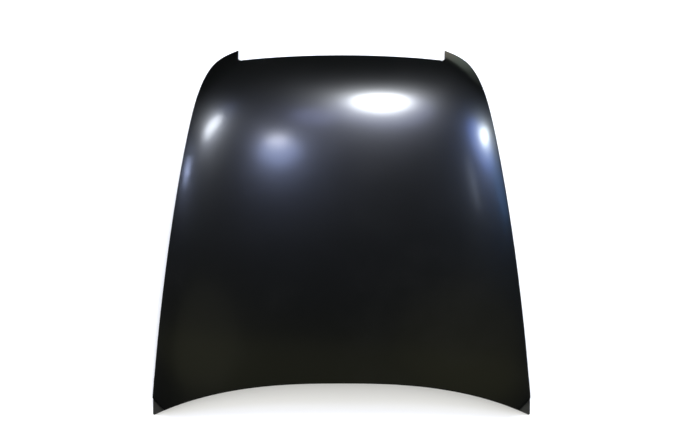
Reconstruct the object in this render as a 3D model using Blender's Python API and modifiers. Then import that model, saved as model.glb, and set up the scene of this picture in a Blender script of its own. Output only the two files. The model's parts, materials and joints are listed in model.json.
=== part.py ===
"""Car bonnet: an outer skin hemmed round a pressed inner frame, lying crown up, nose toward +Y.

Every sheet is drawn as a flat pattern of loops and then pressed onto the crown. A point of a
pattern is (x, y, depth), and depth is measured square to the crown, down from its surface.
"""
from collections import namedtuple
from math import atan2, ceil, cos, exp, log1p, pi, sin

import bmesh
import bpy
from mathutils import Matrix, Vector
from mathutils.geometry import delaunay_2d_cdt, interpolate_bezier

NAME = "car_bonnet"
TOOLS = "joining_tools"

# Plan of the panel
HALF_WIDTH = 0.700
REAR_EDGE_Y = -0.5905
REAR_SWEEP = 0.1152
REAR_POWER = 2.6
CORNER_CUT = (0.660, -0.6435)
SHOULDER = (0.5585, 0.4345)
EAR_TIP = (0.404, 0.7035)
SIDE_HANDLES = ((0.663, -0.1905), (0.606, 0.1975))
HEADLIGHT_HANDLES = ((0.5125, 0.6435), (0.494, 0.6635))
NOSE_Y = 0.6525
NOSE_SWEEP = 0.119
NOTCH_X = 0.398
NOTCH_FILLET = 0.018

# Crown: how the surface falls away from its highest line
CROWN_HEIGHT = 0.19140
PITCH = 0.04930
LENGTH_SAG = 0.10
WIDTH_SAG = 0.13
EDGE_ROLL = 0.032
NOSE_ROLL = 0.080
NOSE_START = -0.0385
NOSE_RUN = 0.690
ROLL_POWER = 6
TAPER = 0.115
TAPER_RUN = 1.2
TAPER_POWER = 1.6
CREASE_START = (0.397, 0.6395)
CREASE_END = (0.533, 0.5105)
CREASE_SLOPE = 0.48
CREASE_BLEND = 0.008
CREASE_LIMIT = 40.0

# Sheet metal
SKIN = 0.0008
FRAME = 0.0008
HEM_GAP = 0.0007
HEM_RETURN = 0.010
HEM_END_X = 0.590
HEM_END_Y = -0.560
FRAME_EDGE = 0.0017
FRAME_TOP = SKIN + HEM_GAP
HEM_DEPTH = FRAME_TOP + FRAME + HEM_GAP + SKIN
TAB_DEPTH = 0.010
TAB_CORNER = 0.005
FLANGE_WIDTH = 0.014
WALL_WIDTH = 0.014
CHANNEL_DEPTH = 0.022

# Inner frame's windows and ribs
SIDE_CHANNEL = 0.102
REAR_CHANNEL = 0.100
RIB_HALF = 0.022
LIP_DEPTH = 0.0045
LIP_WIDTH = 0.012
LIP_WALL = 0.008
WINDOW_EDGE = RIB_HALF + LIP_WALL + LIP_WIDTH
WINDOW_RADIUS = 0.030
DIAGONAL_REAR = (0.530, -0.500)
DIAGONAL_FRONT = (0.150, 0.520)
CROSS_RIBS = (-0.130, 0.200)
REAR_WINDOW_X = 0.45
OUTER_WINDOW_Y = -0.40
FRONT_WINDOW_Y = 0.445
SHARP_RADIUS = 0.012
OUTER_RADIUS = 0.025
TOOLING_HOLE = 0.009
TOOLING_ROWS = (-0.33, 0.02)
TOOLING_X = 0.20

# Pads: half sizes, and how far they lie under the channel
HINGE_PAD = (0.588, -0.530, 0.030, 0.062)
LATCH_PAD = (0.0, 0.545, 0.060, 0.026)
LATCH_DEPTH = 0.028
PROP_PAD = (-0.530, 0.200, 0.024, 0.014)
PAD_DROP = 0.002
PAD_EDGE = 0.006
PAD_RADIUS = 0.008
PROP_SLOT = (0.012, 0.006, 0.005)

# Reinforcements and fasteners
SEAT = 0.0003
REINFORCEMENT = 0.0015
REINFORCEMENT_MARGIN = 0.004
BOLT_HOLE = 0.0055
BOLT_PITCH = 0.080
NUT_ACROSS = 0.0075
NUT_HEIGHT = 0.0065
NUT_BORE = 0.0042
STRIKER_HOLE = 0.0035
STRIKER_PITCH = 0.080
STRIKER_NUT = 0.0058
STRIKER_NUT_HEIGHT = 0.005
STRIKER_NUT_BORE = 0.0033
STRIKER_ROD = 0.004
STRIKER_SPREAD = 0.015
STRIKER_DROP = 0.040
STRIKER_BEND = 0.010
STRIKER_PLATE = 0.0025
STRIKER_PLATE_SIZE = (0.052, 0.021)
BOLT_HEAD = (0.0055, -0.0055, -0.0008, 6)
BOLT_FLANGE = (0.0068, -0.0015, 0.0, 12)
BOLT_SHANK = (0.0030, -0.0005, 0.0140, 12)
MASTIC_TOP = 0.0013
MASTIC_LENGTH = 0.018
MASTIC_WIDTH = 0.0045

# Spacing of the pattern's points
EDGE_STEP = 0.055
CORNER_STEP = 0.028
SPOT_STEP = 0.065
SPOT_GROWTH = 1.18
SPOT_MARGIN = 0.022
SIDE_STEPS = 18
HEADLIGHT_STEPS = 10
ARC_STEPS = 4
ROUND_STEPS = 12

Pad = namedtuple("Pad", "x y half_x half_y depth slope_x slope_y")


def clear_scene():
    """Remove what the file already holds."""
    for item in list(bpy.data.objects):
        bpy.data.objects.remove(item)


def make_material(name, color, roughness, metallic):
    """Principled material with one plain colour."""
    material = bpy.data.materials.new(name)
    material.use_nodes = True
    shader = material.node_tree.nodes["Principled BSDF"]
    shader.inputs["Base Color"].default_value = (*color, 1.0)
    shader.inputs["Roughness"].default_value = roughness
    shader.inputs["Metallic"].default_value = metallic
    material.diffuse_color = (*color, 1.0)
    return material


def half_width(y):
    """Half width of the crown's side roll at a station."""
    run = max(0.0, (y - REAR_EDGE_Y + REAR_SWEEP) / TAPER_RUN)
    return HALF_WIDTH - TAPER * run ** TAPER_POWER


def crease_drop(x, y):
    """Drop beyond the soft crease that runs from the grille corner to the headlight shoulder."""
    along = Vector(CREASE_END) - Vector(CREASE_START)
    outward = Vector((-along.y, along.x)).normalized()
    beyond = (Vector((abs(x), y)) - Vector(CREASE_START)).dot(outward)
    return CREASE_SLOPE * CREASE_BLEND * log1p(exp(min(beyond / CREASE_BLEND, CREASE_LIMIT)))


def crown(x, y):
    """Height of the outer surface."""
    nose = max(0.0, (y - NOSE_START) / NOSE_RUN)
    side = abs(x) / half_width(y)
    bow = LENGTH_SAG * y * y + WIDTH_SAG * x * x
    roll = NOSE_ROLL * nose ** ROLL_POWER + EDGE_ROLL * side ** ROLL_POWER
    return CROWN_HEIGHT + PITCH * y - bow - roll - crease_drop(x, y)


def crown_slope(x, y):
    """Slope of the outer surface along X and Y."""
    step = 0.0005
    along_x = (crown(x + step, y) - crown(x - step, y)) / (2 * step)
    along_y = (crown(x, y + step) - crown(x, y - step)) / (2 * step)
    return along_x, along_y


def crown_normal(x, y):
    """Outward normal of the outer surface."""
    slope_x, slope_y = crown_slope(x, y)
    return Vector((-slope_x, -slope_y, 1.0)).normalized()


def press(x, y, depth, pads=()):
    """Point of a flat pattern once pressed onto the crown, or into a flat pad."""
    for pad in pads:
        if abs(x - pad.x) <= pad.half_x + 1e-6 and abs(y - pad.y) <= pad.half_y + 1e-6:
            return pad_matrix(pad, x, y, depth).translation
    return Vector((x, y, crown(x, y))) - crown_normal(x, y) * depth


def drawn(x, y, depth):
    """Pattern point that comes to lie at a place in plan once it is pressed to a depth."""
    normal = crown_normal(x, y)
    return x + normal.x * depth, y + normal.y * depth


def pad_matrix(pad, x, y, depth):
    """Frame at a point of a flat pad: Z is square to the pad, depth is from the crown at its middle."""
    normal = Vector((-pad.slope_x, -pad.slope_y, 1.0)).normalized()
    height = crown(pad.x, pad.y) + pad.slope_x * (x - pad.x) + pad.slope_y * (y - pad.y)
    side = Vector((1.0, 0.0, pad.slope_x)).normalized()
    place = Vector((x, y, height)) - normal * depth
    turn = Matrix((side, normal.cross(side), normal)).transposed().to_4x4()
    return Matrix.Translation(place) @ turn


def tangent_pad(x, y, half_x, half_y, depth):
    """Flat pad that follows the crown's slope at its middle."""
    return Pad(x, y, half_x, half_y, depth, *crown_slope(x, y))


def rear_edge(x):
    """Y of the rear edge, which is swept back toward its corners."""
    return REAR_EDGE_Y - REAR_SWEEP * (abs(x) / HALF_WIDTH) ** REAR_POWER


def nose_edge(x):
    """Y of the nose edge between the two ears."""
    return NOSE_Y - NOSE_SWEEP * x * x


def bezier(start, handles, end, steps):
    """Plan points along one cubic curve, without its last point."""
    points = interpolate_bezier(start, *handles, end, steps + 1)
    return [(p.x, p.y) for p in points[:-1]]


def arc(centre, radius, start, end, steps):
    """Plan points along an arc, both ends included."""
    turns = (start + (end - start) * i / steps for i in range(steps + 1))
    return [(centre[0] + radius * cos(turn), centre[1] + radius * sin(turn)) for turn in turns]


def right_outline():
    """Right half of the skin's outline, from the rear edge's middle round to the nose."""
    rear_steps = ceil(CORNER_CUT[0] / EDGE_STEP)
    rear = [CORNER_CUT[0] * i / rear_steps for i in range(rear_steps + 1)]
    points = [(x, rear_edge(x)) for x in rear]
    points += bezier((HALF_WIDTH, CORNER_CUT[1]), SIDE_HANDLES, SHOULDER, SIDE_STEPS)
    points += bezier(SHOULDER, HEADLIGHT_HANDLES, EAR_TIP, HEADLIGHT_STEPS)
    points.append(EAR_TIP)
    centre = (NOTCH_X - NOTCH_FILLET, nose_edge(NOTCH_X) + NOTCH_FILLET)
    points += arc(centre, NOTCH_FILLET, 0.0, -pi / 2, ARC_STEPS)
    nose_steps = ceil(centre[0] / EDGE_STEP)
    nose = [centre[0] * i / nose_steps for i in range(nose_steps - 1, -1, -1)]
    return points + [(x, nose_edge(x)) for x in nose]


def both_sides(points):
    """Close a right half that starts and ends on the centre line with its mirror image."""
    return points + [(-x, y) for x, y in points[-2:0:-1]]


def inset(points, distance):
    """Move a closed anticlockwise loop inward, mitred at its corners."""
    moved = []
    count = len(points)
    for i, point in enumerate(points):
        here = Vector(point)
        before = (here - Vector(points[i - 1])).normalized()
        after = (Vector(points[(i + 1) % count]) - here).normalized()
        first = Vector((-before.y, before.x))
        second = Vector((-after.y, after.x))
        shift = (first + second) * (distance / (1.0 + first.dot(second)))
        moved.append((here.x + shift.x, here.y + shift.y))
    return moved


def rounded(corners, radius):
    """Closed anticlockwise loop with rounded corners and stations along its straight sides."""
    bends = []
    for i, centre in enumerate(inset(corners, radius)):
        here = Vector(corners[i])
        before = (here - Vector(corners[i - 1])).normalized()
        after = (Vector(corners[(i + 1) % len(corners)]) - here).normalized()
        start = atan2(-before.x, before.y)
        turn = atan2(before.cross(after), before.dot(after))
        bends.append(arc(centre, radius, start, start + turn, ARC_STEPS))
    points = []
    for bend, following in zip(bends, bends[1:] + bends[:1]):
        start, end = Vector(bend[-1]), Vector(following[0])
        steps = ceil((end - start).length / EDGE_STEP)
        points += bend
        points += [tuple(start.lerp(end, step / steps)) for step in range(1, steps)]
    return points


def rectangle(x, y, half_x, half_y, radius):
    """Rounded rectangle about a point."""
    corners = [(x - half_x, y - half_y), (x + half_x, y - half_y), (x + half_x, y + half_y), (x - half_x, y + half_y)]
    return rounded(corners, radius)


def circle(x, y, radius, steps=ROUND_STEPS):
    """Closed round loop."""
    return arc((x, y), radius, 0.0, 2 * pi * (steps - 1) / steps, steps - 1)


def mirrored(points):
    """Mirror image of a closed loop, still anticlockwise."""
    return [(-x, y) for x, y in reversed(points)]


def inside(point, loop):
    """Whether a plan point lies inside a closed loop."""
    crossings = 0
    for (ax, ay), (bx, by) in zip(loop, loop[1:] + loop[:1]):
        if (ay > point[1]) != (by > point[1]) and point[0] < ax + (bx - ax) * (point[1] - ay) / (by - ay):
            crossings += 1
    return crossings % 2 == 1


def clearance(point, loop):
    """Shortest distance in plan from a point to a closed loop."""
    nearest = 1.0
    for start, end in zip(loop, loop[1:] + loop[:1]):
        a = Vector(start)
        run = Vector(end) - a
        share = max(0.0, min(1.0, (Vector(point) - a).dot(run) / run.dot(run)))
        nearest = min(nearest, (Vector(point) - a - run * share).length)
    return nearest


def spots(outer, keep_out, margin):
    """Staggered points inside a loop, closer together where the nose rolls down."""
    points = []
    y = NOSE_Y - 0.5 * CORNER_STEP
    step = CORNER_STEP
    row = 0
    count = ceil(HALF_WIDTH / SPOT_STEP)
    while y > REAR_EDGE_Y - REAR_SWEEP:
        shift = 0.5 * (row % 2)
        points += [((i + shift) * SPOT_STEP, y) for i in range(-count, count + 1)]
        y -= step
        row += 1
        step = min(step * SPOT_GROWTH, EDGE_STEP)
    loops = [outer] + keep_out
    return [p for p in points if inside(p, outer)
            and not any(inside(p, loop) for loop in keep_out)
            and min(clearance(p, loop) for loop in loops) > margin]


def flat_pattern(loops, holes, extra):
    """Triangulated flat pattern: each loop is (points, depth), and the first one is the edge."""
    verts = []
    edges = []
    depths = []
    for points, depth in loops + holes:
        first = len(verts)
        verts += [Vector(point) for point in points]
        depths += depth if isinstance(depth, list) else [depth] * len(points)
        edges += [(first + i, first + (i + 1) % len(points)) for i in range(len(points))]
    for point, depth in extra:
        verts.append(Vector(point))
        depths.append(depth)
    places, _, faces, origins, _, _ = delaunay_2d_cdt(verts, edges, [], 0, 1e-6)
    pattern = bmesh.new()
    corners = [pattern.verts.new((place.x, place.y, -depths[origin[0]])) for place, origin in zip(places, origins)]
    for face in faces:
        middle = sum((places[i] for i in face), Vector((0.0, 0.0))) / len(face)
        if inside(middle, loops[0][0]) and not any(inside(middle, points) for points, _ in holes):
            pattern.faces.new([corners[i] for i in face])
    bmesh.ops.recalc_face_normals(pattern, faces=pattern.faces)
    if sum(face.normal.z for face in pattern.faces) < 0.0:
        bmesh.ops.reverse_faces(pattern, faces=pattern.faces)
    return pattern


def press_sheet(name, pattern, thickness, material, collection, pads=()):
    """Press a flat pattern onto the crown and thicken it downward."""
    for vert in pattern.verts:
        vert.co = press(vert.co.x, vert.co.y, -vert.co.z, pads)
    mesh = bpy.data.meshes.new(name)
    pattern.to_mesh(mesh)
    pattern.free()
    sheet = bpy.data.objects.new(name, mesh)
    collection.objects.link(sheet)
    mesh.materials.append(material)
    wall = sheet.modifiers.new("Thickness", "SOLIDIFY")
    wall.thickness = thickness
    wall.offset = -1.0
    wall.use_even_offset = True
    wall.use_quality_normals = True
    return sheet


def hem_stations(outline):
    """Whether each outline station carries the hem, which stops short of the cut rear corners."""
    stations = []
    for x, y in outline:
        at_rear = y < rear_edge(x) + 0.001 and abs(x) < HEM_END_X
        stations.append(at_rear or y > HEM_END_Y and abs(x) > HEM_END_X or y > 0.0)
    return stations


def build_skin(outline, material, collection):
    """Outer skin with its edge folded down and back under the inner frame."""
    flange = inset(outline, FLANGE_WIDTH)
    extra = [(point, 0.0) for point in spots(flange, [], 0.5 * CORNER_STEP)]
    pattern = flat_pattern([(outline, 0.0), (flange, 0.0)], [], extra)
    inward = pattern.verts.layers.float_vector.new("inward")
    pattern.verts.ensure_lookup_table()
    hemmed = hem_stations(outline)
    for i, point in enumerate(outline):
        if hemmed[i]:
            pattern.verts[i][inward] = ((Vector(flange[i]) - Vector(point)) / FLANGE_WIDTH).to_3d()
    edges = [edge for edge in pattern.edges if edge.is_boundary and all(v[inward].length > 0.5 for v in edge.verts)]
    fold = bmesh.ops.extrude_edge_only(pattern, edges=edges)["geom"]
    for vert in (item for item in fold if isinstance(item, bmesh.types.BMVert)):
        vert.co.z -= HEM_DEPTH
    edges = [item for item in fold if isinstance(item, bmesh.types.BMEdge)]
    back = bmesh.ops.extrude_edge_only(pattern, edges=edges)["geom"]
    for vert in (item for item in back if isinstance(item, bmesh.types.BMVert)):
        vert.co += vert[inward] * HEM_RETURN
    bmesh.ops.recalc_face_normals(pattern, faces=pattern.faces)
    top = max(pattern.faces, key=lambda face: face.calc_area())
    if top.normal.z < 0.0:
        bmesh.ops.reverse_faces(pattern, faces=pattern.faces)
    return press_sheet("outer_skin", pattern, SKIN, material, collection)


def diagonal_x(y):
    """X of the diagonal rib's centre line."""
    share = (y - DIAGONAL_REAR[1]) / (DIAGONAL_FRONT[1] - DIAGONAL_REAR[1])
    return DIAGONAL_REAR[0] + share * (DIAGONAL_FRONT[0] - DIAGONAL_REAR[0])


def side_x(y):
    """X of the window edges along the side channel."""
    return half_width(y) - SIDE_CHANNEL


def windows():
    """The inner frame's windows, between its channels, cross ribs, centre rib and diagonal ribs."""
    slant = WINDOW_EDGE / cos(atan2(DIAGONAL_REAR[0] - DIAGONAL_FRONT[0], DIAGONAL_FRONT[1] - DIAGONAL_REAR[1]))
    middle = WINDOW_EDGE
    first, second = CROSS_RIBS
    rows = [(None, first - WINDOW_EDGE), (first + WINDOW_EDGE, second - WINDOW_EDGE)]
    right = []
    for rear, front in rows:
        inner_rear = rear_edge(0.0) + REAR_CHANNEL if rear is None else rear
        outer_rear = rear_edge(REAR_WINDOW_X) + REAR_CHANNEL if rear is None else rear
        right.append(([(middle, inner_rear), (diagonal_x(outer_rear) - slant, outer_rear),
                       (diagonal_x(front) - slant, front), (middle, front)], WINDOW_RADIUS))
    outer_rows = [(OUTER_WINDOW_Y, first - WINDOW_EDGE, SHARP_RADIUS),
                  (first + WINDOW_EDGE, second - WINDOW_EDGE, OUTER_RADIUS),
                  (second + WINDOW_EDGE, FRONT_WINDOW_Y, OUTER_RADIUS)]
    for rear, front, radius in outer_rows:
        right.append(([(diagonal_x(rear) + slant, rear), (side_x(rear), rear),
                       (side_x(front), front), (diagonal_x(front) + slant, front)], radius))
    loops = [rounded(corners, radius) for corners, radius in right]
    rear, front = second + WINDOW_EDGE, FRONT_WINDOW_Y
    wide, narrow = diagonal_x(rear) - slant, diagonal_x(front) - slant
    centre = rounded([(-wide, rear), (wide, rear), (narrow, front), (-narrow, front)], WINDOW_RADIUS)
    return loops + [mirrored(loop) for loop in loops] + [centre]


def frame_edge(outline):
    """Outer loop of the inner frame with a depth for each station, tabs at the rear corners included."""
    edge = inset(outline, FRAME_EDGE)
    points = []
    depths = []
    for i, hemmed in enumerate(hem_stations(outline)):
        x, y = outline[i]
        if hemmed:
            points.append(edge[i])
            depths.append(FRAME_TOP)
        elif abs(y - CORNER_CUT[1]) < 1e-6 and abs(x) > HALF_WIDTH - 0.001:
            tip_x, tip_y = HALF_WIDTH - TAB_CORNER, rear_edge(HALF_WIDTH) + TAB_CORNER
            corners = [(tip_x, rear_edge(tip_x)), (HALF_WIDTH, tip_y), (HALF_WIDTH, CORNER_CUT[1])]
            tab = [drawn(a, b, TAB_DEPTH) for a, b in corners]
            points += tab if x > 0 else [(-a, b) for a, b in reversed(tab)]
            depths += [TAB_DEPTH] * len(tab)
        elif y < rear_edge(x) + 0.001:
            points.append((x, rear_edge(x)))
            depths.append(TAB_DEPTH)
    return points, depths


def body_loop(outline):
    """Outline without its ears and cut corners, which the channel follows."""
    return [(x, y) for x, y in outline if not (y > NOSE_Y - 0.02 and abs(x) > NOTCH_X - 0.03)
            and not (y > 0.60 and abs(x) > NOTCH_X)]


def pads():
    """Flat pads: two for the hinges, one for the latch striker and one for the prop rod."""
    x, y, half_x, half_y = HINGE_PAD
    hinges = [tangent_pad(side * x, y, half_x, half_y, CHANNEL_DEPTH + PAD_DROP) for side in (1, -1)]
    latch = Pad(*LATCH_PAD, LATCH_DEPTH, 0.0, 0.0)
    prop = tangent_pad(*PROP_PAD, CHANNEL_DEPTH + PAD_DROP)
    return hinges, latch, prop


def striker_bolts(latch):
    """Places of the striker's two bolts."""
    return [(latch.x + side * 0.5 * STRIKER_PITCH, latch.y) for side in (1, -1)]


def build_frame(outline, material, collection):
    """Pressed inner frame: hem flange, channel, windows with raised lips, pads and holes."""
    hinges, latch, prop = pads()
    all_pads = [*hinges, latch, prop]
    flange = inset(outline, FLANGE_WIDTH)
    flange_depths = [FRAME_TOP if hemmed else TAB_DEPTH for hemmed in hem_stations(outline)]
    channel = inset(body_loop(outline), FLANGE_WIDTH + WALL_WIDTH)
    loops = [frame_edge(outline), (flange, flange_depths), (channel, CHANNEL_DEPTH)]
    holes = []
    feet = []
    for window in windows():
        lip = inset(window, -LIP_WIDTH)
        foot = inset(window, -LIP_WIDTH - LIP_WALL)
        holes.append((window, LIP_DEPTH))
        loops += [(lip, LIP_DEPTH), (foot, CHANNEL_DEPTH)]
        feet.append(foot)
    for pad in all_pads:
        face = rectangle(pad.x, pad.y, pad.half_x, pad.half_y, PAD_RADIUS)
        rim = inset(face, -PAD_EDGE)
        loops += [(face, pad.depth), (rim, CHANNEL_DEPTH)]
        feet.append(rim)
    for pad in hinges:
        holes += [(circle(pad.x, pad.y + side * 0.5 * BOLT_PITCH, BOLT_HOLE), pad.depth) for side in (1, -1)]
    holes += [(circle(x, y, STRIKER_HOLE), latch.depth) for x, y in striker_bolts(latch)]
    holes.append((rectangle(prop.x, prop.y, *PROP_SLOT), prop.depth))
    tooling = [(diagonal_x(y), y) for y in TOOLING_ROWS] + [(TOOLING_X, CROSS_RIBS[0])]
    for x, y in tooling + [(-x, y) for x, y in tooling]:
        hole = circle(x, y, TOOLING_HOLE)
        holes.append((hole, CHANNEL_DEPTH))
        feet.append(hole)
    extra = [(point, CHANNEL_DEPTH) for point in spots(channel, feet, SPOT_MARGIN)]
    pattern = flat_pattern(loops, holes, extra)
    return press_sheet("inner_frame", pattern, FRAME, material, collection, all_pads)


def build_plate(name, loop, openings, depth, thickness, pad, material, collection):
    """Flat plate lying on a pad, with its openings."""
    pattern = flat_pattern([(loop, depth)], [(opening, depth) for opening in openings], [])
    press_sheet(name, pattern, thickness, material, collection, [pad])


def build_hinge_mounts(material, collection):
    """Hinge reinforcements inside the rear channel, each with two weld nuts over its bolt holes."""
    hinges, _, _ = pads()
    for pad, side in zip(hinges, ("right", "left")):
        top = pad.depth - SEAT - REINFORCEMENT
        holes = [(pad.x, pad.y + sign * 0.5 * BOLT_PITCH) for sign in (1, -1)]
        plate = inset(rectangle(pad.x, pad.y, pad.half_x, pad.half_y, PAD_RADIUS), REINFORCEMENT_MARGIN)
        build_plate("hinge_reinforcement_" + side, plate, [circle(x, y, BOLT_HOLE) for x, y in holes],
                    top, REINFORCEMENT, pad, material, collection)
        for (x, y), end in zip(holes, ("front", "rear")):
            build_plate("hinge_nut_%s_%s" % (side, end), circle(x, y, NUT_ACROSS, 6), [circle(x, y, NUT_BORE)],
                        top - SEAT - NUT_HEIGHT, NUT_HEIGHT, pad, material, collection)


def build_latch_mount(primer, steel, collection):
    """Latch reinforcement and nuts inside the nose, striker plate, bolts and U-shaped striker below."""
    _, pad, _ = pads()
    bolts = striker_bolts(pad)
    holes = [circle(x, y, STRIKER_HOLE) for x, y in bolts]
    top = pad.depth - SEAT - REINFORCEMENT
    loop = inset(rectangle(pad.x, pad.y, pad.half_x, pad.half_y, PAD_RADIUS), REINFORCEMENT_MARGIN)
    build_plate("latch_reinforcement", loop, holes, top, REINFORCEMENT, pad, primer, collection)
    under = pad.depth + FRAME + SEAT
    loop = rectangle(pad.x, pad.y, *STRIKER_PLATE_SIZE, PAD_RADIUS)
    build_plate("striker_plate", loop, holes, under, STRIKER_PLATE, pad, steel, collection)
    for (x, y), side in zip(bolts, ("right", "left")):
        build_plate("latch_nut_" + side, circle(x, y, STRIKER_NUT, 6), [circle(x, y, STRIKER_NUT_BORE)],
                    top - SEAT - STRIKER_NUT_HEIGHT, STRIKER_NUT_HEIGHT, pad, steel, collection)
        build_bolt("striker_bolt_" + side, pad_matrix(pad, x, y, under + STRIKER_PLATE + SEAT), steel, collection)
    build_striker(pad_matrix(pad, pad.x, pad.y, under + STRIKER_PLATE + SEAT), steel, collection)


def solid_round(name, place, stages, material, collection):
    """Straight cylinders or prisms on one axis, each stage (radius, low, high, sides), joined by unions."""
    pieces = []
    for radius, low, high, sides in stages:
        shape = bmesh.new()
        middle = Matrix.Translation((0.0, 0.0, 0.5 * (low + high)))
        bmesh.ops.create_cone(shape, cap_ends=True, segments=sides, radius1=radius, radius2=radius,
                              depth=high - low, matrix=place @ middle)
        mesh = bpy.data.meshes.new(name)
        shape.to_mesh(mesh)
        shape.free()
        mesh.materials.append(material)
        pieces.append(bpy.data.objects.new(name, mesh))
    collection.objects.link(pieces[0])
    for number, tool in enumerate(pieces[1:]):
        tool.name = "%s_tool_%d" % (name, number)
        tool.hide_render = True
        tool.display_type = "WIRE"
        bpy.data.collections[TOOLS].objects.link(tool)
        union = pieces[0].modifiers.new("Join", "BOOLEAN")
        union.operation = "UNION"
        union.object = tool


def build_bolt(name, place, material, collection):
    """Hexagon bolt with a flange: its head below the place and its shank up through the plates."""
    solid_round(name, place, (BOLT_HEAD, BOLT_FLANGE, BOLT_SHANK), material, collection)


def build_striker(place, material, collection):
    """U-shaped striker rod with its bar along the car, seated under its plate."""
    curve = bpy.data.curves.new("striker_loop", "CURVE")
    curve.dimensions = "3D"
    curve.bevel_depth = STRIKER_ROD
    curve.bevel_resolution = 2
    curve.use_fill_caps = True
    bend_y, bend_z = STRIKER_SPREAD - STRIKER_BEND, STRIKER_BEND - STRIKER_DROP
    points = [(-STRIKER_SPREAD, 0.0), *arc((-bend_y, bend_z), STRIKER_BEND, pi, 1.5 * pi, ARC_STEPS),
              *arc((bend_y, bend_z), STRIKER_BEND, -0.5 * pi, 0.0, ARC_STEPS), (STRIKER_SPREAD, 0.0)]
    spline = curve.splines.new("POLY")
    spline.points.add(len(points) - 1)
    for point, (y, z) in zip(spline.points, points):
        point.co = (*(place @ Vector((0.0, y, z))), 1.0)
    curve.materials.append(material)
    collection.objects.link(bpy.data.objects.new("striker_loop", curve))


def build_prop_mount(material, collection):
    """Plate behind the slot that takes the prop rod's end."""
    _, _, pad = pads()
    loop = inset(rectangle(pad.x, pad.y, pad.half_x, pad.half_y, PAD_RADIUS), REINFORCEMENT_MARGIN)
    slot = rectangle(pad.x, pad.y, *PROP_SLOT)
    build_plate("prop_rod_reinforcement", loop, [slot], pad.depth - SEAT - REINFORCEMENT, REINFORCEMENT,
                pad, material, collection)


def build_mastic(material, collection):
    """Beads of mastic that carry the skin on the window lips."""
    gap = LIP_DEPTH - SEAT - MASTIC_TOP
    first, second = CROSS_RIBS
    lip = WINDOW_EDGE - 0.5 * LIP_WIDTH
    places = [(0.16, first - lip), (0.30, first - lip), (0.16, first + lip), (0.27, first + lip),
              (0.12, second - lip), (0.12, second + lip), (0.48, first - lip), (0.46, first + lip)]
    for number, (x, y) in enumerate(places, 1):
        for side, sign in (("right", 1), ("left", -1)):
            loop = [(sign * x + MASTIC_LENGTH * px, y + MASTIC_WIDTH * py) for px, py in circle(0.0, 0.0, 1.0, 8)]
            pattern = flat_pattern([(loop, MASTIC_TOP)], [], [((sign * x, y), MASTIC_TOP)])
            press_sheet("mastic_%d_%s" % (number, side), pattern, gap, material, collection)


def main():
    """Build the bonnet."""
    clear_scene()
    collection = bpy.data.collections.new(NAME)
    bpy.context.scene.collection.children.link(collection)
    bpy.context.scene.collection.children.link(bpy.data.collections.new(TOOLS))
    primer = make_material("black_primer", (0.012, 0.012, 0.013), 0.32, 0.0)
    steel = make_material("plated_steel", (0.45, 0.44, 0.42), 0.38, 1.0)
    sealer = make_material("mastic", (0.10, 0.10, 0.095), 0.75, 0.0)
    outline = both_sides(right_outline())
    build_skin(outline, primer, collection)
    build_frame(outline, primer, collection)
    build_hinge_mounts(primer, collection)
    build_latch_mount(primer, steel, collection)
    build_prop_mount(primer, collection)
    build_mastic(sealer, collection)


main()
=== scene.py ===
"""Black primed car bonnet: outer skin with its hem, pressed inner frame, and the finish of every piece."""

import json
from math import ceil, cos, exp, hypot, log1p, pi, radians, sin

import bmesh
import bpy
from bpy.props import FloatProperty, FloatVectorProperty
from mathutils import Matrix, Vector
from mathutils.geometry import interpolate_bezier


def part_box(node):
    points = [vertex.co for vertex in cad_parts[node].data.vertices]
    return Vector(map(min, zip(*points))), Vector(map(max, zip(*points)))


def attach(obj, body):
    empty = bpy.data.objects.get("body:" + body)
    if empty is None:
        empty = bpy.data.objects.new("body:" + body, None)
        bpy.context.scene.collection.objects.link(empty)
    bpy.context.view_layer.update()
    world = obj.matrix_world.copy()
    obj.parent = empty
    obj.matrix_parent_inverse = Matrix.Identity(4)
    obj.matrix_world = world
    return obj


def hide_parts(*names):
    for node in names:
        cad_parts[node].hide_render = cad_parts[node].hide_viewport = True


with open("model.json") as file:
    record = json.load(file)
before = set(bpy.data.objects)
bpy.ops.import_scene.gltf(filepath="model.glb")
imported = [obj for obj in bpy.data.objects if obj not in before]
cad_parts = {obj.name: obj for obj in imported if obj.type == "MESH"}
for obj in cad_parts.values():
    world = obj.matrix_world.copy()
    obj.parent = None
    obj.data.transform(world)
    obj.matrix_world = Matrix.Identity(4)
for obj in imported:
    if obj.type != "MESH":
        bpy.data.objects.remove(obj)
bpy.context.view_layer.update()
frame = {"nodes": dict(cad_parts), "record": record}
SKIN_LOW, SKIN_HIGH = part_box("outer_skin")

bl_info = {
    "name": "Primed car bonnet",
    "version": (1, 0, 0),
    "blender": (4, 5, 0),
    "location": "3D View > Sidebar > Bonnet",
    "description": "Models the outer skin and inner frame of a car bonnet and finishes every piece",
    "category": "Add Mesh",
}

# Crown of the outer surface
REAR_POWER = 2.6
TAPER_RUN = 1.2
TAPER_POWER = 1.6
ROLL_POWER = 6
CREASE_START = Vector((0.397, 0.6395))
CREASE_END = Vector((0.533, 0.5105))
CREASE_BLEND = 0.008
# Blend widths past the crease where its fall stops, well beyond the ears, to keep the exponential in range
CREASE_LIMIT = 40.0
# Step for the slopes of the surface, and rounds for where a ray meets it
NORMAL_STEP = 0.0005
MEET_ROUNDS = 12

# Plan of the outer surface, right half, whose cut corner lies further in than the solid's by the rolled lip
CORNER_CUT = Vector((0.651, -0.6385))
SHOULDER = (0.5585, 0.4345)
EAR_TIP = (0.404, 0.7035)
SIDE_HANDLES = ((0.663, -0.1905), (0.606, 0.1975))
HEADLIGHT_HANDLES = ((0.5125, 0.6435), (0.494, 0.6635))
NOTCH_X = 0.398
NOTCH_FILLET = 0.018
HEM_END_X = 0.590
HEM_END_Y = -0.560
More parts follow.
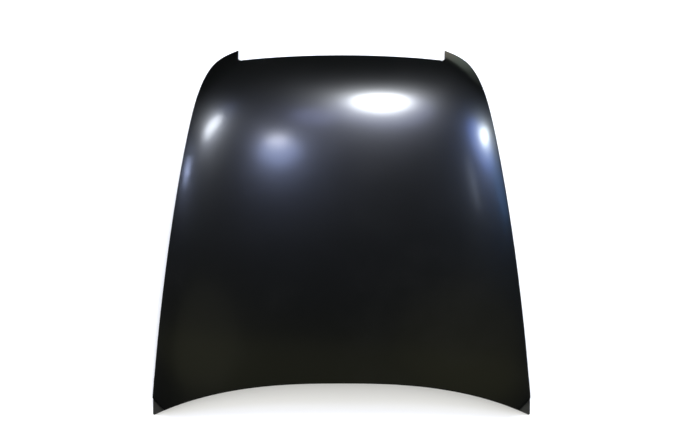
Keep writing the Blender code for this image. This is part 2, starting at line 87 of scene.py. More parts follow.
# Steps of the outline along its rear edge, side, headlight edge, notch flank, notch fillet and nose edge
REAR_STEPS = 44
SIDE_STEPS = 76
HEADLIGHT_STEPS = 30
FLANK_STEPS = 5
FILLET_STEPS = 9
NOSE_STEPS = 27

# Making of the outer skin: strip inside its outline, and margins for finding its edges again
EDGE_STRIP = 0.004
REAR_MARGIN = 0.003
CUT_MARGIN = 0.005
SIDE_MARGIN = 0.002
KEY_PLACES = 6
# Rolled rear corners: shares of the lip and of the fall at each step, and how the lip runs in plan
CORNER_ROLL = ((0.15, 0.05), (0.35, 0.22), (0.65, 0.60), (1.0, 1.0))
LIP_BACKWARD = 1.45
LIP_OUTWARD = 0.95
LIP_INSET = 0.0004

# Making of the sheets: merging, angles, and how many sheet thicknesses wide a sheet's side face may be
MERGE_DISTANCE = 0.00001
QUAD_PLANE_ANGLE = radians(8.0)
QUAD_SHAPE_ANGLE = radians(60.0)
HEM_ANGLE = radians(50.0)
PRESS_ANGLE = radians(32.0)
SMOOTH_ANGLE = radians(35.0)
BEND_SEGMENTS = 3
SIDE_FACE = 1.2

# Electrocoat: swing of its roughness, cover and dulling of its dust, and place of the lighter corner tabs,
# which carry scuffs and a painted sheen
CLOUD_SWING = 0.04
SPECK_COVER = 0.20
DUST_COVER = 0.012
DUST_DULLING = 0.5
TAB_SCUFF_SHEEN_FADE = 0.015
TAB_SCUFF_SHEEN_FRONT = -0.630
TAB_SCUFF_SHEEN_REAR = -0.645
# Second colours of the other finishes, and how far they cover the first
PLATED_STAIN = (0.30, 0.27, 0.20)
STAIN_COVER = 0.6
MASTIC_PORE = (0.05, 0.05, 0.048)
PORE_COVER = 0.5
FLOOR_SHADE = 0.94
SHADE_COVER = 0.25
CARD_BROWN = (0.40, 0.36, 0.30)
CARD_GREEN = (0.30, 0.36, 0.30)
CARD_DIM = (0.11, 0.125, 0.10)

# The photograph's size and the panel's middle in it, in pixels
PHOTO_WIDTH, PHOTO_HEIGHT = 700, 445
PANEL_MIDDLE = (341.5, 226.2)
# Lamps: middle, reach and half width of the highlight in pixels, power in watts and colour
LAMPS = {
    "main_lamp": ((381.5, 101.7), (29, 1.5), 11.3, 71.0, (0.93, 0.97, 1.0)),
    "main_rim": ((386, 108), (46, 3), 20, 13.0, (0.42, 0.49, 1.0)),
    "front_veil": ((314, 116), (20, 5), 10, 3.2, (0.47, 0.53, 1.0)),
    "left_lamp": ((212.2, 125.6), (9.0, -9.5), 4.3, 21.6, (0.88, 0.93, 1.0)),
    "left_glow": ((217, 121), (17, -17), 9, 2.6, (0.23, 0.35, 1.0)),
    "middle_lamp": ((277.2, 140.2), (11, 0), 7, 4.9, (0.94, 0.94, 1.0)),
    "middle_glow": ((278, 150), (22, 0), 15.5, 8.8, (0.41, 0.53, 1.0)),
    "right_lamp": ((484.4, 135.7), (3, 7.9), 5.0, 22.3, (0.9, 1.0, 0.97)),
    "right_glow": ((481, 140), (11, 27), 10, 14.6, (0.06, 0.21, 1.0)),
    "right_streak": ((473, 182), (6, 26), 2.5, 1.05, (0.71, 0.81, 1.0)),
    "right_edge": ((498, 180), (9, 40), 4, 3.0, (0.17, 0.43, 1.0)),
    "left_streak": ((187.2, 170), (-1.6, 9), 1.2, 5.0, (0.54, 0.64, 1.0)),
    "rear_ceiling": ((341, 375), (190, 0), 32, 2.85, (1.0, 1.0, 0.44)),
    "rear_left": ((200, 340), (40, 0), 60, 0.6, (1.0, 1.0, 0.7)),
    "rear_right": ((480, 340), (40, 0), 60, 0.74, (1.0, 0.97, 0.51)),
}

# Floor, camera and even light, in metres, millimetres and watts
FLOOR_SIZE = 60.0
FLOOR_DEPTH = 0.0005
CARD_HEIGHT = 0.001
SENSOR_WIDTH = 36.0
CLIP_START = 0.1
CLIP_END = 100.0
OVERHEAD_PLACE = (0.0, 0.0, 6.0)
OVERHEAD_SIZE = (7.0, 7.0)
OVERHEAD_POWER = 90.0
WORLD_COLOR = (1.0, 0.995, 0.985)
WORLD_STRENGTH = 1.05
# Low soft boxes: place, width and height in metres, and power in watts
SOFTBOXES = {
    "rear_softbox": ((0.0, -7.0, 1.9), (5.0, 2.2), 20.0),
    "left_softbox": ((-7.0, 0.8, 1.9), (6.0, 2.2), 24.0),
    "right_softbox": ((7.0, 0.8, 1.9), (6.0, 2.2), 24.0),
}
# Plan of the card that the right ear mirrors
EAR_CARD = ((0.36, 0.66), (0.60, 0.69), (0.72, 0.80), (1.15, 1.25),
            (1.05, 1.35), (0.62, 0.86), (0.52, 0.79), (0.36, 0.78))


class BonnetSizes(bpy.types.PropertyGroup):
    """Sizes of the bonnet's sheets."""

    half_width: FloatProperty(name="Half width", description="Half the width across the rear corners",
                              default=SKIN_HIGH.x, unit="LENGTH")
    rear_edge: FloatProperty(name="Rear edge", description="Y of the rear edge on the centre line",
                             default=-0.5905, unit="LENGTH")
    rear_sweep: FloatProperty(name="Rear sweep", description="How far back the rear corners lie",
                              default=0.1152, unit="LENGTH")
    nose_edge: FloatProperty(name="Nose edge", description="Y of the nose edge on the centre line",
                             default=0.6525, unit="LENGTH")
    nose_sweep: FloatProperty(name="Nose sweep", description="Curvature of the nose edge, per metre",
                              default=0.119)
    crown_height: FloatProperty(name="Crown height", description="Height of the crown at the origin",
                                default=0.1914, unit="LENGTH")
    pitch: FloatProperty(name="Pitch", description="Slope of the panel along its length", default=0.0493)
    length_sag: FloatProperty(name="Length sag", description="Curvature along the car, per metre",
                              default=0.10)
    width_sag: FloatProperty(name="Width sag", description="Curvature across the car, per metre",
                             default=0.13)
    edge_roll: FloatProperty(name="Edge roll", description="Extra fall at the side edges",
                             default=0.032, unit="LENGTH")
    nose_roll: FloatProperty(name="Nose roll", description="Extra fall at the nose",
                             default=0.080, unit="LENGTH")
    nose_start: FloatProperty(name="Nose start", description="Y where the nose roll begins",
                              default=-0.0385, unit="LENGTH")
    nose_run: FloatProperty(name="Nose run", description="Length over which the nose roll reaches its fall",
                            default=0.690, unit="LENGTH")
    taper: FloatProperty(name="Taper", description="How much the half width shrinks toward the nose",
                         default=0.115, unit="LENGTH")
    crease_slope: FloatProperty(name="Crease slope", description="Extra slope beyond the headlight crease",
                                default=0.48)
    sheet: FloatProperty(name="Sheet", description="Thickness of each sheet", default=0.0008, unit="LENGTH")
    hem_depth: FloatProperty(name="Hem depth", description="Outer height of the folded hem",
                             default=0.0038, unit="LENGTH")
    hem_return: FloatProperty(name="Hem return", description="Width of the hem's return flange",
                              default=0.010, unit="LENGTH")
    corner_lip: FloatProperty(name="Corner lip", description="Reach of the roll over the corner tabs",
                              default=0.0095, unit="LENGTH")
    corner_fall: FloatProperty(name="Corner fall", description="Fall of the skin's roll to the corner tabs",
                               default=0.0082, unit="LENGTH")
    hem_round: FloatProperty(name="Hem round", description="Radius of the hem's fold",
                             default=0.0015, unit="LENGTH")
    cell: FloatProperty(name="Cell", description="Size of the squares that the skin is divided into",
                        default=0.014, unit="LENGTH")
    press_round: FloatProperty(name="Press radius", description="Radius of the inner frame's pressed edges",
                               default=0.0025, unit="LENGTH")


class BonnetFinish(bpy.types.PropertyGroup):
    """Colours and textures of the finishes."""

    primer: FloatVectorProperty(name="Primer", description="Colour of the electrocoat", subtype="COLOR",
                                default=(0.0020, 0.0022, 0.0020))
    primer_roughness: FloatProperty(name="Primer roughness", description="Roughness of the electrocoat",
                                    default=0.288, subtype="FACTOR")
    peel: FloatProperty(name="Orange peel", description="Height of the electrocoat's orange peel",
                        default=0.000012, unit="LENGTH")
    dust: FloatVectorProperty(name="Dust", description="Colour of the thin dust", subtype="COLOR",
                              default=(0.16, 0.15, 0.13))
    # Lighter colour of the corner tabs: scuffs where the panel rests, and a painted sheen for the tabs'
    # lighter reflection
    tab_scuff_and_sheen: FloatVectorProperty(name="Scuff", description="Colour of the scuffed coat on the corner tabs",
                               subtype="COLOR", default=(0.024, 0.024, 0.021))
    plated: FloatVectorProperty(name="Plated steel", description="Colour of the zinc plated fastenings",
                                subtype="COLOR", default=(0.52, 0.50, 0.45))
    mastic: FloatVectorProperty(name="Mastic", description="Colour of the mastic beads", subtype="COLOR",
                                default=(0.11, 0.11, 0.10))


class BonnetStudio(bpy.types.PropertyGroup):
    """Camera, floor and lights."""

    elevation: FloatProperty(name="Elevation", description="Camera's height above the horizon",
                             default=radians(81.0), subtype="ANGLE")
    distance: FloatProperty(name="Distance", description="Camera's distance from the panel", default=4.0,
                            unit="LENGTH")
    lens: FloatProperty(name="Lens", description="Focal length in millimetres on a 36 mm sensor",
                        default=55.13)
    aim: FloatVectorProperty(name="Aim", description="Point that the camera looks at", subtype="TRANSLATION",
                             default=(0.0, -0.0087, 0.0925))
    lamp_distance: FloatProperty(name="Lamp distance", description="Distance of the lamps from the panel",
                                 default=3.0, unit="LENGTH")
    floor: FloatVectorProperty(name="Floor", description="Colour of the floor", subtype="COLOR",
                               default=(0.86, 0.86, 0.85))


class Crown:
    """Outer surface of the bonnet as a height over its plan."""

    def __init__(self, sizes):
        self.sizes = sizes
        along = (CREASE_END - CREASE_START).normalized()
        self.crease_side = Vector((-along.y, along.x))

    def half_width(self, y):
        """Half width of the side roll at a station."""
        s = self.sizes
        run = max(0.0, (y - s.rear_edge + s.rear_sweep) / TAPER_RUN)
        return s.half_width - s.taper * run ** TAPER_POWER

    def height(self, x, y):
        """Height of the surface."""
        s = self.sizes
        nose = max(0.0, (y - s.nose_start) / s.nose_run)
        side = abs(x) / self.half_width(y)
        bow = s.length_sag * y * y + s.width_sag * x * x
        roll = s.nose_roll * nose ** ROLL_POWER + s.edge_roll * side ** ROLL_POWER
        beyond = (Vector((abs(x), y)) - CREASE_START).dot(self.crease_side) / CREASE_BLEND
        crease = s.crease_slope * CREASE_BLEND * log1p(exp(min(beyond, CREASE_LIMIT)))
        return s.crown_height + s.pitch * y - bow - roll - crease

    def normal(self, x, y):
        """Outward normal of the surface."""
        step = NORMAL_STEP
        along_x = (self.height(x + step, y) - self.height(x - step, y)) / (2 * step)
        along_y = (self.height(x, y + step) - self.height(x, y - step)) / (2 * step)
        return Vector((-along_x, -along_y, 1.0)).normalized()

    def press(self, point):
        """Place of a flat pattern's point, whose Z is its height off the surface."""
        normal = self.normal(point.x, point.y)
        return Vector((point.x, point.y, self.height(point.x, point.y))) + normal * point.z

    def meet(self, start, direction):
        """Where a ray from above meets the surface."""
        place = start.copy()
        for _ in range(MEET_ROUNDS):
            place = start + direction * ((self.height(place.x, place.y) - start.z) / direction.z)
        return place

    def rear_edge(self, x):
        """Y of the swept rear edge."""
        s = self.sizes
        return s.rear_edge - s.rear_sweep * (abs(x) / s.half_width) ** REAR_POWER

    def nose_edge(self, x):
        """Y of the nose edge between the ears."""
        return self.sizes.nose_edge - self.sizes.nose_sweep * x * x


def outline_points(crown):
    """Closed outline of the outer skin in plan, anticlockwise from the middle of its rear edge."""
    def even(start, end, steps):
        return [start + (end - start) * i / steps for i in range(steps)]

    def curve(start, handles, end, steps):
        return [(p.x, p.y) for p in interpolate_bezier(start, *handles, end, steps + 1)[:-1]]

    right = [(x, crown.rear_edge(x)) for x in even(0.0, CORNER_CUT.x, REAR_STEPS)]
    right.append((CORNER_CUT.x, crown.rear_edge(CORNER_CUT.x)))
    right += curve((crown.sizes.half_width, CORNER_CUT.y), SIDE_HANDLES, SHOULDER, SIDE_STEPS)
    right += curve(SHOULDER, HEADLIGHT_HANDLES, EAR_TIP, HEADLIGHT_STEPS)
    centre = (NOTCH_X - NOTCH_FILLET, crown.nose_edge(NOTCH_X) + NOTCH_FILLET)
    right += [(EAR_TIP[0] + (NOTCH_X - EAR_TIP[0]) * t, EAR_TIP[1] + (centre[1] - EAR_TIP[1]) * t)
              for t in even(0.0, 1.0, FLANK_STEPS)]
    right += [(centre[0] + NOTCH_FILLET * cos(turn), centre[1] + NOTCH_FILLET * sin(turn))
              for turn in even(0.0, -pi / 2, FILLET_STEPS)]
    right += [(x, crown.nose_edge(x)) for x in even(centre[0], 0.0, NOSE_STEPS)]
    right.append((0.0, crown.nose_edge(0.0)))
    return right + [(-x, y) for x, y in right[-2:0:-1]]


def edit(piece):
    """Open one object in edit mode with nothing selected."""
    if bpy.context.object and bpy.context.object.mode != "OBJECT":
        bpy.ops.object.mode_set(mode="OBJECT")
    bpy.ops.object.select_all(action="DESELECT")
    bpy.context.view_layer.objects.active = piece
    piece.select_set(True)
    bpy.ops.object.mode_set(mode="EDIT")


def pick(piece, kind, wanted):
    """Select only the faces or edges that a test wants, in edit mode."""
    mesh = bmesh.from_edit_mesh(piece.data)
    for group in (mesh.verts, mesh.edges, mesh.faces):
        for item in group:
            item.select = False
    bpy.ops.mesh.select_mode(type="FACE" if kind == "faces" else "EDGE")
    for item in getattr(mesh, kind):
        if wanted(item):
            item.select_set(True)
    mesh.select_flush_mode()
    bmesh.update_edit_mesh(piece.data)


def middle(edge):
    """Middle of an edge."""
    return (edge.verts[0].co + edge.verts[1].co) / 2


def picked(mesh):
    """Selected vertices of a mesh in edit mode."""
    return [vert for vert in mesh.verts if vert.select]


def plan_key(vert):
    """Place of a vertex in plan, by which it is found again after an extrusion."""
    return round(vert.co.x, KEY_PLACES), round(vert.co.y, KEY_PLACES)


def thicken(piece, radius, bend_angle, sheet):
    """Round the bends of a surface, give it the sheet's thickness behind it, and smooth it by angle."""
    bpy.ops.object.mode_set(mode="OBJECT")
    modifiers = {
        "BEVEL": {"width": radius, "segments": BEND_SEGMENTS, "limit_method": "ANGLE",
                  "angle_limit": bend_angle},
        "SOLIDIFY": {"thickness": sheet, "offset": -1.0, "use_even_offset": True,
                     "use_quality_normals": True},
    }
    for kind, settings in modifiers.items():
        modifier = piece.modifiers.new(kind.title(), kind)
        for name, value in settings.items():
            setattr(modifier, name, value)
        bpy.ops.object.modifier_apply(modifier=modifier.name)
    bpy.ops.object.shade_smooth_by_angle(angle=SMOOTH_ANGLE)


class Socket:
    """A node's output, with maths written as expressions."""

    def __init__(self, tree, output):
        self.tree = tree
        self.output = output

    def _math(self, operation, first, second):
        """Add a Math node."""
        return self.tree.node("ShaderNodeMath", {"operation": operation}, {0: first, 1: second})

    def __add__(self, other):
        return self._math("ADD", self, other)

    def __sub__(self, other):
        return self._math("SUBTRACT", self, other)

    def __mul__(self, other):
        return self._math("MULTIPLY", self, other)

    def __rsub__(self, other):
        return self._math("SUBTRACT", other, self)

    __radd__ = __add__
    __rmul__ = __mul__


class Finish:
    """A node material built from plain calls."""

    def __init__(self, name, roughness, metallic=0.0):
        self.material = bpy.data.materials.new(name)
        self.material.use_nodes = True
        self.nodes = self.material.node_tree.nodes
        self.links = self.material.node_tree.links
        self.shader = self.nodes["Principled BSDF"]
        self.set("Roughness", roughness)
        self.set("Metallic", metallic)
        self.place = self.node("ShaderNodeTexCoord", {}, {}, "Object")

    def node(self, kind, settings, inputs, output=0):
        """Add a node, set it up, feed its sockets, and give one of its outputs."""
        node = self.nodes.new(kind)
        for name, value in settings.items():
            setattr(node, name, value)
        for name, value in inputs.items():
            self.feed(node.inputs[name], value)
        return Socket(self, node.outputs[output])

    def feed(self, socket, value):
        """Link a socket or set its value."""
        if isinstance(value, Socket):
            self.links.new(value.output, socket)
        else:
            socket.default_value = value

    def set(self, name, value):
        """Feed one of the shader's sockets."""
        self.feed(self.shader.inputs[name], value)

    def noise(self, scale, detail=2.0, roughness=0.5):
        """Noise on the object's own coordinates, 0 to 1."""
        return self.node("ShaderNodeTexNoise", {}, {"Vector": self.place, "Scale": scale, "Detail": detail,
                                                    "Roughness": roughness}, "Fac")

    def along(self, axis):
        """One of the object's own coordinates."""
        return self.node("ShaderNodeSeparateXYZ", {}, {"Vector": self.place}, axis)

    def band(self, value, low, high, to_low=0.0, to_high=1.0):
        """Remap a value smoothly between two stops."""
        inputs = {"Value": value, "From Min": low, "From Max": high, "To Min": to_low, "To Max": to_high}
        return self.node("ShaderNodeMapRange", {"interpolation_type": "SMOOTHSTEP"}, inputs, "Result")

    def spread(self, value, low, high):
        """Stretch a value of 0 to 1 over a range."""
        return value * (high - low) + low

    def mix(self, factor, first, second):
        """Mix two colours."""
        return self.node("ShaderNodeMix", {"data_type": "RGBA"}, {0: factor, 6: first, 7: second}, 2)

    def bump(self, height, strength, distance):
        """Add a bump to the shader's normal, on top of any before it."""
        inputs = {"Height": height, "Strength": strength, "Distance": distance}
        for link in self.shader.inputs["Normal"].links:
            inputs["Normal"] = Socket(self, link.from_socket)
        self.set("Normal", self.node("ShaderNodeBump", {}, inputs, "Normal"))


def solid(color):
    """Colour with full alpha."""
    return (*color, 1.0)


def primer_finish(name, look, dust, scuffed_and_sheened=False):
    """Satin black electrocoat: orange peel, uneven sheen, a trace of dust and, if asked, lighter corner tabs
    with scuffs and a painted sheen.
    """
    coat = Finish(name, look.primer_roughness)
    clouds = coat.noise(scale=5.0, detail=3.0)
    grain = coat.noise(scale=420.0)
    specks = coat.band(coat.noise(scale=260.0, detail=1.0), low=0.70, high=0.78)
    settled = coat.band(coat.noise(scale=3.2, detail=4.0, roughness=0.6), low=0.48, high=0.72, to_high=dust)
    film = specks * SPECK_COVER * settled + settled * DUST_COVER
    color = coat.mix(film, solid(look.primer), solid(look.dust))
    # Corner tabs painted lighter: scuffs, and a painted sheen that stands for the tabs' lighter reflection
    if scuffed_and_sheened:
        out = coat.node("ShaderNodeMath", {"operation": "ABSOLUTE"}, {0: coat.along("X")})
        at_side = coat.band(out, low=CORNER_CUT.x - TAB_SCUFF_SHEEN_FADE, high=CORNER_CUT.x)
        at_rear = coat.band(coat.along("Y"), low=TAB_SCUFF_SHEEN_FRONT, high=TAB_SCUFF_SHEEN_REAR)
        scuff_and_sheen_mottle = coat.spread(coat.noise(scale=60.0, detail=3.0), low=0.6, high=1.1)
        color = coat.mix(at_side * at_rear * scuff_and_sheen_mottle, color, solid(look.tab_scuff_and_sheen))
    coat.set("Base Color", color)
    smoothest = look.primer_roughness - CLOUD_SWING / 2
    coat.set("Roughness", clouds * CLOUD_SWING + film * DUST_DULLING + smoothest)
    coat.set("Coat Weight", 0.55)
    coat.set("Coat Roughness", 0.15)
    coat.bump(coat.noise(scale=9.0, detail=1.0), strength=0.35, distance=0.0006)
    coat.bump(grain, strength=0.5, distance=look.peel)
    return coat.material


def plated_finish(look):
    """Zinc plated steel: mottled, a little dull and yellowish."""
    coat = Finish("zinc_plated_steel", roughness=0.35, metallic=1.0)
    mottle = coat.noise(scale=180.0, detail=3.0)
    coat.set("Base Color", coat.mix(mottle * STAIN_COVER, solid(look.plated), solid(PLATED_STAIN)))
    coat.set("Roughness", coat.spread(mottle, low=0.25, high=0.50))
    coat.bump(coat.noise(scale=900.0), strength=0.3, distance=0.00005)
    return coat.material


def mastic_finish(look):
    """Matt grey mastic with a rough, slightly porous face."""
    coat = Finish("anti_flutter_mastic", roughness=0.8)
    pores = coat.noise(scale=700.0, detail=3.0)
    coat.set("Base Color", coat.mix(pores * PORE_COVER, solid(look.mastic), solid(MASTIC_PORE)))
    coat.set("Roughness", coat.spread(pores, low=0.65, high=0.85))
    coat.bump(pores, strength=0.6, distance=0.0003)
    return coat.material


def floor_finish(color):
    """Pale matt studio floor."""
    coat = Finish("pale_floor", roughness=0.75)
    cloud = coat.noise(scale=1.4, detail=3.0)
    shaded = solid(channel * FLOOR_SHADE for channel in color)
    coat.set("Base Color", coat.mix(cloud * SHADE_COVER, solid(color), shaded))
    return coat.material


def card_finish():
    """Glowing card, brown near the nose's notch, then grey-green, and dim toward the side."""
    coat = Finish("ear_card", roughness=1.0)
    coat.set("Base Color", solid((0.0, 0.0, 0.0)))
    out = coat.along("X")
    near = coat.mix(coat.band(out, low=0.41, high=0.50), solid(CARD_BROWN), solid(CARD_GREEN))
    coat.set("Emission Color", coat.mix(coat.band(out, low=0.51, high=0.64), near, solid(CARD_DIM)))
    coat.set("Emission Strength", 1.0)
    return coat.material


def dress(piece, material):
    """Give a piece one finish."""
    piece.data.materials.clear()
    piece.data.materials.append(material)


class BONNET_OT_outer_skin(bpy.types.Operator):
    """Model the crowned outer skin with its folded hem"""

    bl_idname = "bonnet.outer_skin"
    bl_label = "Outer skin"

    def execute(self, context):
        sizes = context.scene.bonnet_sizes
        crown = Crown(sizes)
        outline = outline_points(crown)
        bpy.ops.object.select_all(action="DESELECT")
        bpy.ops.mesh.primitive_circle_add(vertices=len(outline), fill_type="NGON", location=(0.0, 0.0, 0.0))
        piece = context.object
        piece.name = "outer_skin_pressed"
        for vert, point in zip(piece.data.vertices, outline):
            vert.co = (*point, 0.0)
        edit(piece)
        pick(piece, "faces", lambda face: True)
        bpy.ops.mesh.normals_make_consistent(inside=False)
        if bmesh.from_edit_mesh(piece.data).faces[:][0].normal.z < 0.0:
            bpy.ops.mesh.flip_normals()
        bpy.ops.mesh.inset(thickness=EDGE_STRIP, use_even_offset=True)
        self.divide(piece, sizes.cell)
        self.fold(piece, crown, sizes)
        self.roll_corners(piece, crown, sizes)
        bpy.ops.object.mode_set(mode="OBJECT")
        for vert in piece.data.vertices:
            vert.co = crown.press(vert.co)
        thicken(piece, sizes.hem_round, HEM_ANGLE, sizes.sheet)
        dress(piece, primer_finish("black_electrocoat_skin", context.scene.bonnet_finish, dust=0.5))
        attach(piece, "root")
        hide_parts("outer_skin")
        return {"FINISHED"}

    def divide(self, piece, cell):
        """Cut the flat face inside the edge strip into squares."""
        mesh = bmesh.from_edit_mesh(piece.data)
        body = max(mesh.faces, key=lambda face: face.calc_area())
        strip = {face.index for face in mesh.faces if face is not body}
        low, high = SKIN_LOW, SKIN_HIGH
        for axis in (0, 1):
            count = ceil((high[axis] - low[axis]) / cell)
            for step in range(1, count):
                place = [0.0, 0.0, 0.0]
                place[axis] = low[axis] + (high[axis] - low[axis]) * step / count
                normal = [0.0, 0.0, 0.0]
                normal[axis] = 1.0
                pick(piece, "faces", lambda face: face.index not in strip)
                bpy.ops.mesh.bisect(plane_co=place, plane_no=normal)

    def fold(self, piece, crown, sizes):
        """Fold the hemmed edges down and back under."""
        def hemmed(edge):
            x, y, _ = middle(edge)
            if not edge.is_boundary:
                return False
            at_rear = y < crown.rear_edge(x) + REAR_MARGIN and abs(x) < HEM_END_X
            at_side = abs(x) > HEM_END_X and y > HEM_END_Y
            return at_rear or at_side or y > 0.0

        pick(piece, "edges", hemmed)
        bpy.ops.mesh.extrude_region_move(TRANSFORM_OT_translate={"value": (0.0, 0.0, -sizes.hem_depth)})
        mesh = bmesh.from_edit_mesh(piece.data)
        mesh.normal_update()
        turned = {}
        for vert in picked(mesh):
            square = vert.normal.dot(vert.link_faces[0].normal) or 1.0
            turned[plan_key(vert)] = -vert.normal * (sizes.hem_return / square)
        bpy.ops.mesh.extrude_region_move(TRANSFORM_OT_translate={"value": (0.0, 0.0, 0.0)})
        mesh = bmesh.from_edit_mesh(piece.data)
        for vert in picked(mesh):
            vert.co += turned[plan_key(vert)]
        bmesh.update_edit_mesh(piece.data)

    def roll_corners(self, piece, crown, sizes):
        """Roll the cut rear corners down over the frame's tabs."""
        def at_cut(edge):
            x, y, _ = middle(edge)
            return edge.is_boundary and abs(x) > CORNER_CUT.x + CUT_MARGIN and y < CORNER_CUT.y - CUT_MARGIN

        pick(piece, "edges", at_cut)
        for reach, fall in CORNER_ROLL:
            bpy.ops.mesh.extrude_region_move(TRANSFORM_OT_translate={"value": (0.0, 0.0, 0.0)})
            out = sizes.corner_lip * reach
            down = sizes.corner_fall * fall
            mesh = bmesh.from_edit_mesh(piece.data)
            for vert in picked(mesh):
                if abs(vert.co.x) > sizes.half_width - SIDE_MARGIN:
                    vert.co = (vert.co.x, CORNER_CUT.y - out * LIP_BACKWARD, -down)
                else:
                    hand = 1 if vert.co.x > 0 else -1
                    across = CORNER_CUT.x + out * LIP_OUTWARD
                    vert.co = (hand * across, crown.rear_edge(across) + LIP_INSET, -down)
            bmesh.update_edit_mesh(piece.data)


class BONNET_OT_inner_frame(bpy.types.Operator):
    """Round the pressed edges of the inner frame and finish it"""

    bl_idname = "bonnet.inner_frame"
    bl_label = "Inner frame"

    def execute(self, context):
        sizes = context.scene.bonnet_sizes
        piece = bpy.data.objects.new("inner_frame_pressed", frame["nodes"]["inner_frame"].data.copy())
        context.scene.collection.objects.link(piece)
        edit(piece)
        pick(piece, "faces", lambda face: True)
        bpy.ops.mesh.remove_doubles(threshold=MERGE_DISTANCE)
        bpy.ops.mesh.tris_convert_to_quads(face_threshold=QUAD_PLANE_ANGLE, shape_threshold=QUAD_SHAPE_ANGLE)
        narrow = sizes.sheet * SIDE_FACE
        pick(piece, "faces", lambda face: min(edge.calc_length() for edge in face.edges) < narrow)
        bpy.ops.mesh.delete(type="ONLY_FACE")
        upper = self.upper_face(piece)
        pick(piece, "faces", lambda face: face.index in upper)
        bpy.ops.mesh.delete(type="FACE")
        pick(piece, "edges", lambda edge: not edge.link_faces)
        bpy.ops.mesh.delete(type="EDGE")
        thicken(piece, sizes.press_round, PRESS_ANGLE, sizes.sheet)
        look = context.scene.bonnet_finish
        # The frame's corner tabs are painted lighter: scuffs and a painted sheen
        dress(piece, primer_finish("black_electrocoat_frame", look, dust=0.8, scuffed_and_sheened=True))
        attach(piece, "root")
        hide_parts("inner_frame")
        return {"FINISHED"}

    def upper_face(self, piece):
        """Indices of the sheet's upper faces, once the side faces that join them to the lower are gone."""
        mesh = bmesh.from_edit_mesh(piece.data)
        mesh.faces.ensure_lookup_table()
        reached = set()
        ahead = [max(mesh.faces, key=lambda face: face.normal.z * face.calc_area())]
        while ahead:
            face = ahead.pop()
            if face.index not in reached:
                reached.add(face.index)
                ahead += [other for edge in face.edges for other in edge.link_faces]
        return reached


class BONNET_OT_fastenings(bpy.types.Operator):
    """Finish the reinforcements, nuts, bolts, striker and mastic"""

    bl_idname = "bonnet.fastenings"
    bl_label = "Reinforcements and fastenings"

    def execute(self, context):
        look = context.scene.bonnet_finish
        primer = primer_finish("black_electrocoat_small", look, dust=0.8)
        plated = plated_finish(look)
        mastic = mastic_finish(look)
        slots = {row["node"]: row["material_slot"] for row in frame["record"]["subparts"]}
        finishes = {"black_primer": primer, "plated_steel": plated, "mastic": mastic}
        for node, piece in frame["nodes"].items():
            if node not in ("outer_skin", "inner_frame"):
                for place in piece.material_slots:
                    place.material = finishes[slots[node]]
                if not piece.material_slots:
                    raise RuntimeError("no material slot on " + node)
        return {"FINISHED"}


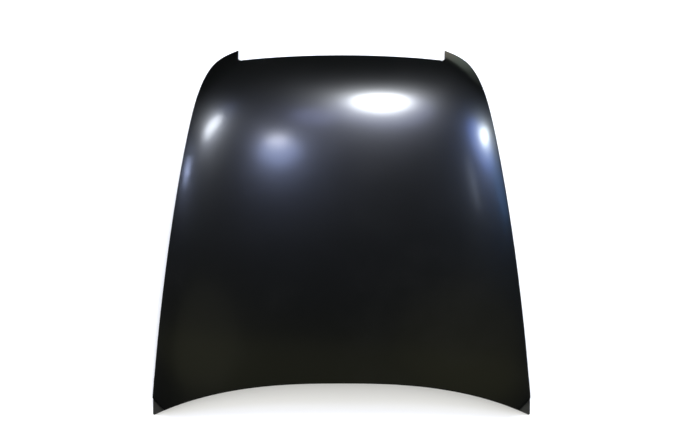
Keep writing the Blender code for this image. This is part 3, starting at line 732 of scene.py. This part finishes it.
class BONNET_OT_stage(bpy.types.Operator):
    """Make the floor, the lamps and the camera"""

    bl_idname = "bonnet.stage"
    bl_label = "Studio"

    def execute(self, context):
        studio = context.scene.bonnet_studio
        crown = Crown(context.scene.bonnet_sizes)
        self.floor(context, studio)
        camera = self.camera(context, studio)
        for name, lamp in LAMPS.items():
            self.lamp(context, studio, crown, camera, name, *lamp)
        self.ear_card(context)
        self.overhead(context)
        for name, softbox in SOFTBOXES.items():
            self.softbox(context, name, *softbox)
        self.surroundings(context)
        context.scene.view_settings.view_transform = "Standard"
        return {"FINISHED"}

    def floor(self, context, studio):
        """Wide pale floor under the panel."""
        bpy.ops.object.select_all(action="DESELECT")
        bpy.ops.mesh.primitive_plane_add(size=FLOOR_SIZE, location=(0.0, 0.0, -FLOOR_DEPTH))
        floor = context.object
        floor.name = "studio_floor"
        dress(floor, floor_finish(studio.floor))
        floor.visible_glossy = False

    def camera(self, context, studio):
        """Camera at the photograph's angle, with the panel where the photograph has it."""
        data = bpy.data.cameras.new("photo_camera")
        data.lens = studio.lens
        data.shift_x = (PHOTO_WIDTH / 2 - PANEL_MIDDLE[0]) / PHOTO_WIDTH
        data.shift_y = (PANEL_MIDDLE[1] - PHOTO_HEIGHT / 2) / PHOTO_WIDTH
        data.clip_start = CLIP_START
        data.clip_end = CLIP_END
        camera = bpy.data.objects.new("photo_camera", data)
        context.scene.collection.objects.link(camera)
        back = Vector((0.0, -cos(studio.elevation), sin(studio.elevation)))
        camera.location = Vector(studio.aim) + back * studio.distance
        camera.rotation_euler = (pi / 2 - studio.elevation, 0.0, 0.0)
        context.scene.camera = camera
        return camera

    def mirrored(self, studio, crown, camera, pixel):
        """Point of the panel at a pixel, and the direction in which the camera sees it mirror the room."""
        focal = studio.lens / SENSOR_WIDTH * PHOTO_WIDTH
        across, down = pixel[0] - PANEL_MIDDLE[0], pixel[1] - PANEL_MIDDLE[1]
        ray = camera.rotation_euler.to_matrix() @ Vector((across / focal, -down / focal, -1.0)).normalized()
        spot = crown.meet(camera.location, ray)
        normal = crown.normal(spot.x, spot.y)
        return spot, ray - normal * (2.0 * ray.dot(normal))

    def lamp(self, context, studio, crown, camera, name, pixel, reach, half_width, power, color):
        """Elliptic area lamp whose mirror image on the panel is one of the photograph's highlights."""
        spot, away = self.mirrored(studio, crown, camera, pixel)
        centre = spot + away * studio.lamp_distance

        def offset(step_x, step_y):
            start, direction = self.mirrored(studio, crown, camera, (pixel[0] + step_x, pixel[1] + step_y))
            return start + direction * ((centre - start).dot(away) / direction.dot(away)) - centre

        scale = half_width / hypot(*reach)
        along = offset(*reach)
        across = offset(-reach[1] * scale, reach[0] * scale)
        side = away.cross(along).normalized()
        size = (2.0 * along.length, 2.0 * abs(across.dot(side)))
        turn = Matrix((along.normalized(), side, away)).transposed().to_quaternion()
        lamp = self.area(context, name, "ELLIPSE", size, power, centre, turn)
        lamp.data.color = color

    def ear_card(self, context):
        """Glowing card just above the floor, seen only in reflections, that the right ear mirrors."""
        bpy.ops.object.select_all(action="DESELECT")
        bpy.ops.mesh.primitive_circle_add(vertices=len(EAR_CARD), fill_type="NGON", location=(0.0, 0.0, 0.0))
        card = context.object
        card.name = "ear_card"
        for vert, point in zip(card.data.vertices, EAR_CARD):
            vert.co = (*point, CARD_HEIGHT)
        dress(card, card_finish())
        for ray in ("camera", "diffuse", "shadow", "transmission", "volume_scatter"):
            setattr(card, "visible_" + ray, False)

    def overhead(self, context):
        """Large soft lamp over the panel that isn't mirrored in it."""
        turn = Vector(OVERHEAD_PLACE).to_track_quat("Z", "Y")
        lamp = self.area(context, "floor_light", "RECTANGLE", OVERHEAD_SIZE, OVERHEAD_POWER,
                         OVERHEAD_PLACE, turn)
        lamp.visible_glossy = False

    def softbox(self, context, name, place, size, power):
        """Low soft box beside the panel that only its gloss shows."""
        turn = Vector(place).to_track_quat("Z", "Y")
        lamp = self.area(context, name, "RECTANGLE", size, power, place, turn)
        lamp.visible_camera = False
        lamp.visible_diffuse = False

    def area(self, context, name, shape, size, power, place, turn):
        """Area lamp of a shape, size and power, put in place and turned."""
        data = bpy.data.lights.new(name, "AREA")
        data.shape = shape
        data.size, data.size_y = size
        data.energy = power
        lamp = bpy.data.objects.new(name, data)
        context.scene.collection.objects.link(lamp)
        lamp.location = place
        lamp.rotation_mode = "QUATERNION"
        lamp.rotation_quaternion = turn
        return lamp

    def surroundings(self, context):
        """Even pale light from all round that the panel doesn't mirror."""
        world = bpy.data.worlds.new("studio_world")
        world.use_nodes = True
        background = world.node_tree.nodes["Background"]
        background.inputs["Color"].default_value = solid(WORLD_COLOR)
        background.inputs["Strength"].default_value = WORLD_STRENGTH
        world.cycles_visibility.glossy = False
        context.scene.world = world


class BONNET_PT_sidebar(bpy.types.Panel):
    """Lists the bonnet's operators and sizes"""

    bl_label = "Car bonnet"
    bl_idname = "BONNET_PT_sidebar"
    bl_space_type = "VIEW_3D"
    bl_region_type = "UI"
    bl_category = "Bonnet"

    def draw(self, context):
        layout = self.layout
        for group in (context.scene.bonnet_sizes, context.scene.bonnet_finish, context.scene.bonnet_studio):
            box = layout.box()
            for name in group.__annotations__:
                box.prop(group, name)
        for operator in OPERATORS:
            layout.operator(operator.bl_idname)


GROUPS = {"bonnet_sizes": BonnetSizes, "bonnet_finish": BonnetFinish, "bonnet_studio": BonnetStudio}
OPERATORS = (BONNET_OT_outer_skin, BONNET_OT_inner_frame, BONNET_OT_fastenings, BONNET_OT_stage)


def register():
    """Register the classes and their property groups."""
    for item in (*GROUPS.values(), *OPERATORS, BONNET_PT_sidebar):
        bpy.utils.register_class(item)
    for name, group in GROUPS.items():
        setattr(bpy.types.Scene, name, bpy.props.PointerProperty(type=group))


def unregister():
    """Remove the classes and their property groups."""
    for name in GROUPS:
        delattr(bpy.types.Scene, name)
    for item in (BONNET_PT_sidebar, *reversed(OPERATORS), *reversed(GROUPS.values())):
        bpy.utils.unregister_class(item)


def main():
    """Build every piece and the studio."""
    register()
    bpy.ops.bonnet.outer_skin()
    bpy.ops.bonnet.inner_frame()
    bpy.ops.bonnet.fastenings()
    bpy.ops.bonnet.stage()


if __name__ == "__main__":
    main()
